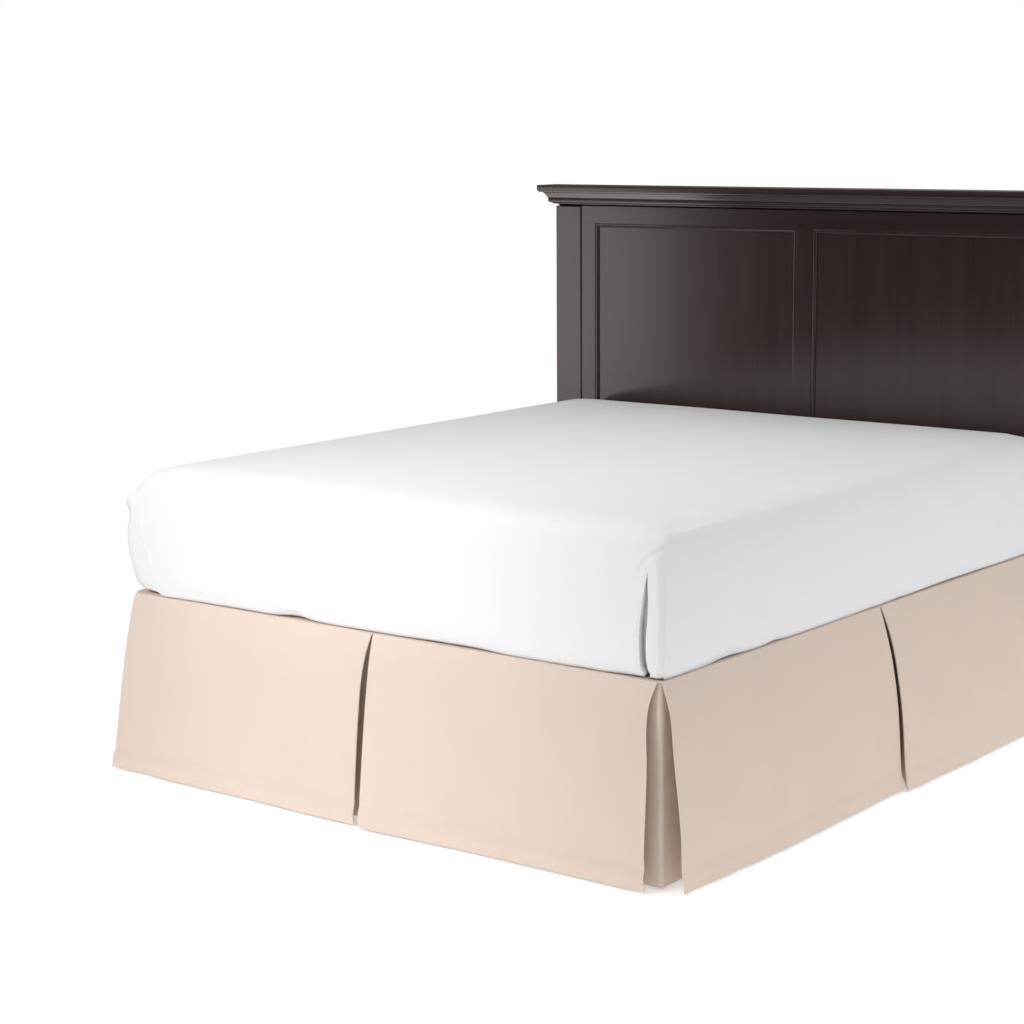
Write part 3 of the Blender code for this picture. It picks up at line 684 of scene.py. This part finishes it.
def mattressGrid():
    m = mattress
    levels = np.array(m["levels"])
    lengths = np.concatenate([[0], np.cumsum(np.hypot(np.diff(levels[:, 0]), np.diff(levels[:, 3])))])
    spaced = np.concatenate([np.linspace(0, lengths[1], 6)[:-1],
                             np.linspace(lengths[1], lengths[10], m["wallLevels"]),
                             np.linspace(lengths[10], lengths[-1], 25)[1:]])
    sideY = np.linspace(0, 1, m["longColumns"] + 1)
    headX = np.linspace(1, 0, m["headColumns"])
    turns = np.radians(np.linspace(-90, 0, m["cornerColumns"] + 1)[1:-1])
    grid, folds, pasts = [], [], []
    insets, radii, crispRadii, heights = [readTable(list(zip(lengths, levels[:, k])), spaced)
                                          for k in range(4)]
    for inset, radius, crisp, height in zip(insets, radii, crispRadii, heights):
        wide = bed["halfWidth"] + m["bulge"] - inset
        front, back = inset - m["bulge"], bed["length"] - inset
        reach, crispReach = wide - radius, wide - crisp
        full, farFull = crispReach + crisp * math.pi / 2, reach + radius * math.pi / 2

        def onRun(run, bend, straight):
            # a place that far from the middle of the foot and on round its corner
            turn = max(run - straight, 0) / bend
            return min(run, straight) + bend * math.sin(turn), front + bend * (1 - math.cos(turn))

        # away from the walls the columns keep their share of the way round
        left, right, depth = nearFoldAt(height)
        edge = -float(readTable(m["flapEdge"], height))
        if edge > m["farReach"]:
            turn = math.asin(min((edge - m["farReach"]) / m["farRadius"], 0.95))
            edge = m["farReach"] + m["farRadius"] * turn
        left, right = left / m["nearRun"] * full, right / m["nearRun"] * full
        edge = edge / m["farRun"] * farFull
        runs = nearColumns(0.88 * full, left, right, full)[:-1]
        farRuns = farColumns(edge, farFull)
        folds.append([(run, left, right, depth) for run in runs])
        footX = np.linspace(-farRuns[-1], 0.88 * full, m["footColumns"] + 1)[1:-1]
        pasts.append(np.concatenate([edge - farRuns, edge + footX]))
        ring = [(-x, y) for x, y in (onRun(run, radius, reach) for run in farRuns)]
        ring += [(x, front) for x in footX] + [onRun(run, crisp, crispReach) for run in runs]
        ring += [(wide, front + crisp + (back - radius - front - crisp) * t) for t in sideY]
        ring += [(reach + radius * math.cos(a), back + radius * (math.sin(a) - 1))
                 for a in turns + math.pi / 2]
        ring += [(reach * (2 * t - 1), back) for t in headX]
        ring += [(-reach + radius * math.cos(a), back + radius * (math.sin(a) - 1)) for a in turns + math.pi]
        ring += [(-wide, front + radius + (back - front - 2 * radius) * t) for t in sideY[:0:-1]]
        grid.append([(x, y, height) for x, y in ring])
    bend = len(turns)
    names = (["foot"] * (len(pasts[0]) + len(runs)) + ["right"] * len(sideY) + ["headRight"] * bend
             + ["head"] * len(headX) + ["headLeft"] * bend + ["left"] * (len(sideY) - 1))
    return np.array(grid), np.array(names), insets, np.array(folds), np.array(pasts)


def gridNormals(grid):
    around = np.roll(grid, -1, 1) - np.roll(grid, 1, 1)
    up = np.gradient(grid, axis=0)
    normals = np.cross(around, up)
    return normals / np.maximum(np.linalg.norm(normals, axis=2), 1e-9)[:, :, None]


def makeMattress():
    grid, names, insets, folds, past = mattressGrid()
    normals = gridNormals(grid)
    m = mattress
    x, y, z = grid[:, :, 0], grid[:, :, 1], grid[:, :, 2]
    raised = np.zeros(x.shape)
    behind = y - (insets - m["bulge"])[:, None]  # how far behind the level's own front
    count = np.arange(x.shape[1])
    for faceName, points, width, height in m["lines"]:
        along = x if faceName == "foot" else y
        away, spot = nearLine(along, z, points)
        strength = np.sin(math.pi * spot) ** 0.7
        # lines of the side run on round the near corner and die away there
        fade = ease(behind, 0.004, 0.022) if faceName == "right" else 1 - ease(behind, 0.012, 0.034) * (x > 0)
        held = (names == faceName) | ((faceName == "right") & (count >= past.shape[1]) & (names == "foot"))
        raised += held[None, :] * height * bell(away, width) * strength * fade
    bottom = m["levels"][0][3]
    onWalls = ease(z, bottom, 0.47) * ease(-insets, -0.1, -0.02)[:, None]
    onTop = ease(insets, 0.05, 0.12)[:, None]
    tall, wide = m["wallWaves"]
    raised += onWalls * tall * ripple(x + y * 0.8, z * 0.7, wide, 5)
    tall, wide = m["topWaves"]
    raised += onTop * tall * ripple(x, y, wide, 9)
    # the boxed edge round the top shows faintly through the cover
    level, wide, deep = m["boxedEdge"]
    rim = deep * bell(z - level, wide) * (ease(insets, 0.02, 0.03) * ease(-insets, -0.09, -0.06))[:, None]
    raised += rim * (names != "foot") * ease(np.abs(y), 0.05, 0.16)
    # near corner: the fold, the swell on its foot side and the roll round the corner
    run, left, right, depth = (folds[:, :, k] for k in range(4))
    gape = np.clip((right - left) / 0.008, 0.05, 1)
    across = np.clip((run - left) / (right - left), 0, 1)
    sunk = (ease(run, left - 0.0006, left + 0.0012 * gape)
            * (1 - ease(run, right - 0.003 * gape, right + 0.0004)))
    far = slice(0, past.shape[1])
    near = slice(past.shape[1], past.shape[1] + folds.shape[1])
    (outA, atA, wideA), (outB, atB, wideB) = m["lipSwells"]
    raised[:, near] += depth / m["fullDepth"] * (outA * bell(run - left + atA, wideA) * (run < left)
                                                 + outB * bell(run - right - atB, wideB) * (run > right))
    end = run[:, -1:]
    upTheWall = ease(z[:, :1], 0.455, 0.48) * ease(-z[:, :1], -0.74, -0.7)
    out, at, wide = m["cornerRoll"]
    raised[:, near] -= out * bell(run - end + at, wide) * upTheWall
    # far corner: the foot's flap laps over the side's cover along a slanting edge
    f = m["flap"]
    stands = f["step"] * ease(past, -0.0006, 0.001) * np.exp(-np.maximum(past, 0) / f["reach"])
    high, wide = f["tuck"]
    tuck = bell(past - f["fold"] * ease(z[:, far], 0.44, 0.56), wide)
    stands += high * tuck * ease(z[:, far], bottom, 0.5)
    stands -= f["sink"] * ease(-past, -0.001, 0.0006) * np.exp(np.minimum(past, 0) / f["slope"])
    raised[:, far] += stands * ease(-z[:, far], -0.69, -0.62)
    ex, ey, ez, wide, out = m["ear"]
    raised += out * np.exp(-((x - ex) ** 2 + (y - ey) ** 2 + (z - ez) ** 2) / wide ** 2)
    out, at, wide, level, tall = m["sideSwell"]
    raised += out * ease(-x, 0.77, 0.8) * bell(y - at, wide) * bell(z - level, tall)
    # nothing grows downwards out of the underside, and its edge lifts here and there
    lift = np.where((names == "foot")[None, :], readTable(m["footLift"], x), readTable(m["sideLift"], y))
    tall, wide = m["edgeRipple"]
    lift = lift * m["liftRate"] + tall * np.maximum(ripple(x + y, y * 0, wide, 3), 0)
    moved = grid + normals * (raised * (1 - ease(-normals[:, :, 2], 0.2, 0.8)))[:, :, None]
    underneath = ease(insets, 0.01, 0.05)[:, None] * (z < 0.46)
    moved[:, :, 2] += lift * (1 - ease(z, 0.4505, 0.482)) * (1 - underneath)
    rises, leans = m["foldFloor"]
    moved[:, near, 1] += depth * sunk * (1 - rises * across)
    moved[:, near, 0] -= leans * depth * sunk
    moved[:, :, 2] = np.maximum(moved[:, :, 2], bottom)
    moved[:, :, 1] += bed["footEdge"]
    points = [p for row in moved for p in row]
    upright = np.abs(normals[:, :, 2]) < 0.5
    uv = np.stack([x + np.where(upright, y, 0), np.where(upright, z, y)], 2).reshape(-1, 2)
    made = addMesh("mattressInCover", points, tubeFaces(*moved.shape[:2]), coverCloth, uv, 60)
    place(made, "mattress_cover", "mattress")


makeMattress()
print("mattress in its cover")


# the box spring

boxSpring = {"inset": 0.0105, "low": 0.2283, "high": 0.4482, "far": 1.8997, "round": 0.034,
             "pipe": 0.004, "pipeAt": 0.016, "wall": -0.0022, "sag": 0.0012}


def roundedRing(c, out, z):
    # plan of the box with rounded upright edges
    points = []
    reach = bed["halfWidth"] - c["inset"] - c["round"]
    near, far = c["inset"] + c["round"], c["far"] - c["round"]
    for cx, cy, first in ((reach, near, -90), (reach, far, 0), (-reach, far, 90), (-reach, near, 180)):
        for k in range(9):
            angle = math.radians(first + 90 * k / 8)
            points.append((cx + (c["round"] + out) * math.cos(angle),
                           bed["footEdge"] + cy + (c["round"] + out) * math.sin(angle), z))
    return points


def makeBoxSpring():
    c = boxSpring
    rings = []
    low, high, pipe, wall = c["low"], c["high"], c["pipe"], c["wall"]

    def piping(z):
        # a round edge cord that stands out of the wall
        return [(wall - wall * math.sin(math.pi * k / 6), z - pipe * math.cos(math.pi * k / 6))
                for k in range(7)]

    outline = [(-0.01, low), (-0.004, low + 0.002), (-0.0024, low + 0.006)] + piping(low + c["pipeAt"])
    for k in range(1, 8):
        t = k / 8
        outline.append((wall - c["sag"] * math.sin(math.pi * t), low + 0.024 + (high - low - 0.048) * t))
    outline += piping(high - c["pipeAt"]) + [(-0.0024, high - 0.006), (-0.004, high - 0.002), (-0.01, high)]
    for out, z in outline:
        rings += roundedRing(c, out, z)
    faces = tubeFaces(len(outline), len(rings) // len(outline))
    spots = np.array(rings)
    uv = np.stack([spots[:, 0] + spots[:, 1], spots[:, 2] + spots[:, 0] * 0.001], 1)
    place(addMesh("boxSpring", rings, faces, tickingCloth, uv, 40), "box_ticking", "box_spring")


makeBoxSpring()
print("box spring")


# the headboard

headboard = {
    "front": 1.9165, "back": 1.9765, "postOuter": 0.891, "crownOverhang": 0.042,
    "frameFront": 1.9205, "stileInner": 0.744, "halfMullion": 0.027, "panelLow": 0.43, "panelTop": 1.294,
    # crown outline from the top down: (share of the overhang, height)
    "crown": ((0.965, 1.41), (0.988, 1.4096), (1.0, 1.4084), (1.0, 1.3935), (0.995, 1.3922), (0.98, 1.3916),
              (0.93, 1.3914), (0.915, 1.3905), (0.905, 1.3888), (0.89, 1.388), (0.7, 1.3878),
              (0.675, 1.3872), (0.64, 1.385), (0.6, 1.3824), (0.55, 1.3796), (0.5, 1.3768),
              (0.455, 1.3738), (0.43, 1.3712), (0.42, 1.369), (0.395, 1.3684), (0.375, 1.3678),
              (0.395, 1.3664), (0.412, 1.3644), (0.415, 1.362), (0.4, 1.3598), (0.365, 1.358),
              (0.32, 1.3566), (0.25, 1.3556), (0.175, 1.3548), (0.145, 1.3541), (0.135, 1.3526),
              (0.125, 1.3517), (-0.1, 1.3515), (-0.22, 1.3463)),
    # bead round the sunk panels: (in from the frame's edge, depth behind its face)
    "bead": ((0.0003, 0.0067), (0.0003, 0.0016), (0.0008, 0.0013), (0.0024, 0.001), (0.0042, 0.0007),
             (0.0054, 0.0007), (0.0072, 0.001), (0.009, 0.0014), (0.0096, 0.002), (0.0099, 0.003),
             (0.0104, 0.0034), (0.0116, 0.0038), (0.0124, 0.0048), (0.0128, 0.0067)),
}


def makeCrown():
    h = headboard
    points = []
    for share, z in h["crown"]:
        out = h["crownOverhang"] * share
        for sx, atBack in ((-1, 0), (1, 0), (1, 1), (-1, 1)):
            y = h["back"] if atBack else h["front"] - out
            points.append((sx * (h["postOuter"] + out), bed["footEdge"] + y, z))
    finish = woodFinish("darkWoodCrown", "x", 9.2, woodLook)
    made = addMesh("crownMoulding", points, tubeFaces(len(h["crown"]), 4), finish, None, 32)
    place(made, "dark_wood", "crown")


def makePanelBead(name, hand):
    # a mitred bead that lines the frame round one sunk panel
    h = headboard
    low, high = h["panelLow"], h["panelTop"]
    xs = sorted((hand * h["halfMullion"], hand * h["stileInner"]))
    points = []
    for inward, depth in h["bead"]:
        for x, z, sx, sz in ((xs[0], low, 1, 1), (xs[1], low, -1, 1),
                             (xs[1], high, -1, -1), (xs[0], high, 1, -1)):
            points.append((x + sx * inward, bed["footEdge"] + h["frameFront"] + depth, z + sz * inward))
    count = len(h["bead"])
    faces = gridFaces(count, 4, 0, True)
    faces += [(4 * count - 4 + k, 4 * count - 4 + (k + 1) % 4, (k + 1) % 4, k) for k in range(4)]
    made = addMesh(name, points, faces, woodFinish(name + "Wood", "z", 5.0 + hand, woodLook), None, 32)
    place(made, "dark_wood")


makeCrown()
makePanelBead("leftPanelBead", -1)
makePanelBead("rightPanelBead", 1)
for i, name in enumerate(("post_left", "post_right", "stile_left", "stile_right", "mullion",
                          "panel_left", "panel_right", "rail_top", "rail_low")):
    along = "x" if name.startswith("rail") else "z"
    cad[name].material_slots[0].material = woodFinish("darkWood_" + name, along, 1.7 * i, woodLook)
print("headboard")


# the steel frame under the box spring

steelLook = {"colour": (0.022, 0.022, 0.024), "rough": 0.48, "gloss": 0.45}


def steelFinish():
    finish, tree, shader = newFinish("blackPowderCoat", {"Specular IOR Level": steelLook["gloss"]})
    where = addNode(tree, "ShaderNodeTexCoord").outputs["Object"]
    peel = stretchedNoise(tree, where, (900, 900, 900), 2, 0.5)
    dust = stretchedNoise(tree, where, (18, 18, 18), 4, 0.6, 3.0)
    shade = mixColours(tree, between(tree, dust, 0.45, 0.75, 0.0, 0.35), tint(steelLook["colour"], 1.0),
                       (0.09, 0.088, 0.084, 1))
    rough = between(tree, dust, 0.3, 0.7, steelLook["rough"] - 0.05, steelLook["rough"] + 0.15)
    bump = addNode(tree, "ShaderNodeBump", {"Height": peel, "Strength": 0.25, "Distance": 0.0003})
    setInputs(tree, shader, {"Base Color": shade, "Roughness": rough, "Normal": bump.outputs[0]})
    return finish


powderCoat = steelFinish()
for name, node in cad.items():
    if name.startswith(("side_rail", "cross_bar", "leg_", "head_bracket")):
        node.material_slots[0].material = powderCoat
print("steel frame")


# floor, light and camera

studio = {
    "floor": (0.93, 0.93, 0.93), "floorGlow": 0.39,
    "floorSpan": (-1.3, 4.2, -2.9, 2.2),  # its left, right, front and back edges
    "skyToCamera": 1.0, "skyLow": 0.03, "skyLeft": 0.6, "skyHigh": 0.94,
    "lights": {
        "leftSoftbox": {"place": (-4.73, -2.655, 1.1), "aim": (-1.69, 1.685, 1.56), "size": (3.0, 2.4),
                        "power": 2.65, "spread": 40, "tint": (1.0, 0.945, 0.92), "inDiffuse": False},
        "crownKicker": {"place": (-1.6, 0.2, 0.03), "aim": (-0.6, 0.93, 1.37), "size": (1.2, 1.6),
                        "power": 2.2, "spread": 60, "tint": (1.0, 0.945, 0.92)},
        "footSoftbox": {"place": (-0.8, -3.2, 2.15), "aim": (-0.12, -0.88, 0.68), "size": (1.2, 1.0),
                        "power": 7.3, "spread": 56, "inGloss": False},
        "rightSoftbox": {"place": (6.2, 2.6, 1.3), "aim": (0.8, 0.0, 0.5), "size": (2.4, 1.6),
                         "power": 52, "spread": 180},
    },
}


def makeFloor():
    left, right, front, back = studio["floorSpan"]
    corners = [(left, front, 0), (right, front, 0), (right, back, 0), (left, back, 0)]
    finish, tree, shader = newFinish("paleFloor", {"Roughness": 0.9, "Specular IOR Level": 0.1,
                                                   "Emission Color": (1, 1, 1, 1),
                                                   "Emission Strength": studio["floorGlow"]})
    where = addNode(tree, "ShaderNodeTexCoord").outputs["Object"]
    grain = stretchedNoise(tree, where, (3, 3, 3), 3, 0.5)
    shade = mixColours(tree, grain, tint(studio["floor"], 0.995), tint(studio["floor"], 1.005))
    setInputs(tree, shader, {"Base Color": shade})
    addMesh("floor", corners, [(0, 1, 2, 3)], finish)


def makeLight(name, look):
    data = bpy.data.lights.new(name, "AREA")
    data.shape = "RECTANGLE"
    data.size, data.size_y = look["size"]
    data.energy = look["power"]
    data.color = look.get("tint", (1, 1, 1))
    data.spread = math.radians(look["spread"])
    made = bpy.data.objects.new(name, data)
    made.location = look["place"]
    made.visible_glossy = look.get("inGloss", True)
    made.visible_diffuse = look.get("inDiffuse", True)
    aim = Vector(look["aim"]) - Vector(look["place"])
    made.rotation_euler = aim.to_track_quat("-Z", "Y").to_euler()
    scene.collection.objects.link(made)


def makeSky():
    world = bpy.data.worlds.new("studioSky")
    world.use_nodes = True
    tree = world.node_tree
    # brighter overhead than at the horizon, and dimmer to the left
    outward = addNode(tree, "ShaderNodeTexCoord").outputs["Generated"]
    heading = addNode(tree, "ShaderNodeSeparateXYZ", {0: outward})
    dome = between(tree, heading.outputs[2], 0.0, 0.65, studio["skyLow"], studio["skyHigh"])
    dome = sums(tree, "MULTIPLY", dome, between(tree, heading.outputs[0], -0.9, 0.3, studio["skyLeft"], 1.0))
    seen = addNode(tree, "ShaderNodeLightPath").outputs["Is Camera Ray"]
    strength = sums(tree, "MAXIMUM", dome, sums(tree, "MULTIPLY", seen, studio["skyToCamera"]))
    setInputs(tree, tree.nodes["Background"], {"Strength": strength, "Color": (1, 1, 1, 1)})
    scene.world = world


cameraSetup = {
    "place": (3.38124, -4.801915, 1.60408),
    "turn": 37.6888,  # degrees to the left of the bed's length
    "tilt": 9.7037,  # downwards
    "roll": -0.39375,
    "lens": 80.24,
}


def makeCamera():
    c = cameraSetup
    turn, tilt, roll = (math.radians(c[key]) for key in ("turn", "tilt", "roll"))
    forward = Vector((-math.sin(turn) * math.cos(tilt), math.cos(turn) * math.cos(tilt), -math.sin(tilt)))
    level = Vector((math.cos(turn), math.sin(turn), 0))
    upright = level.cross(forward)
    right = level * math.cos(roll) + upright * math.sin(roll)
    up = -level * math.sin(roll) + upright * math.cos(roll)
    data = bpy.data.cameras.new("studioCamera")
    data.lens = c["lens"]
    data.clip_end = 500
    made = bpy.data.objects.new("studioCamera", data)
    made.matrix_world = Matrix.Translation(c["place"]) @ Matrix((right, up, -forward)).transposed().to_4x4()
    scene.collection.objects.link(made)
    scene.camera = made


makeFloor()
for name, look in studio["lights"].items():
    makeLight(name, look)
makeSky()
makeCamera()
scene.view_settings.view_transform = "Standard"
print("studio ready")
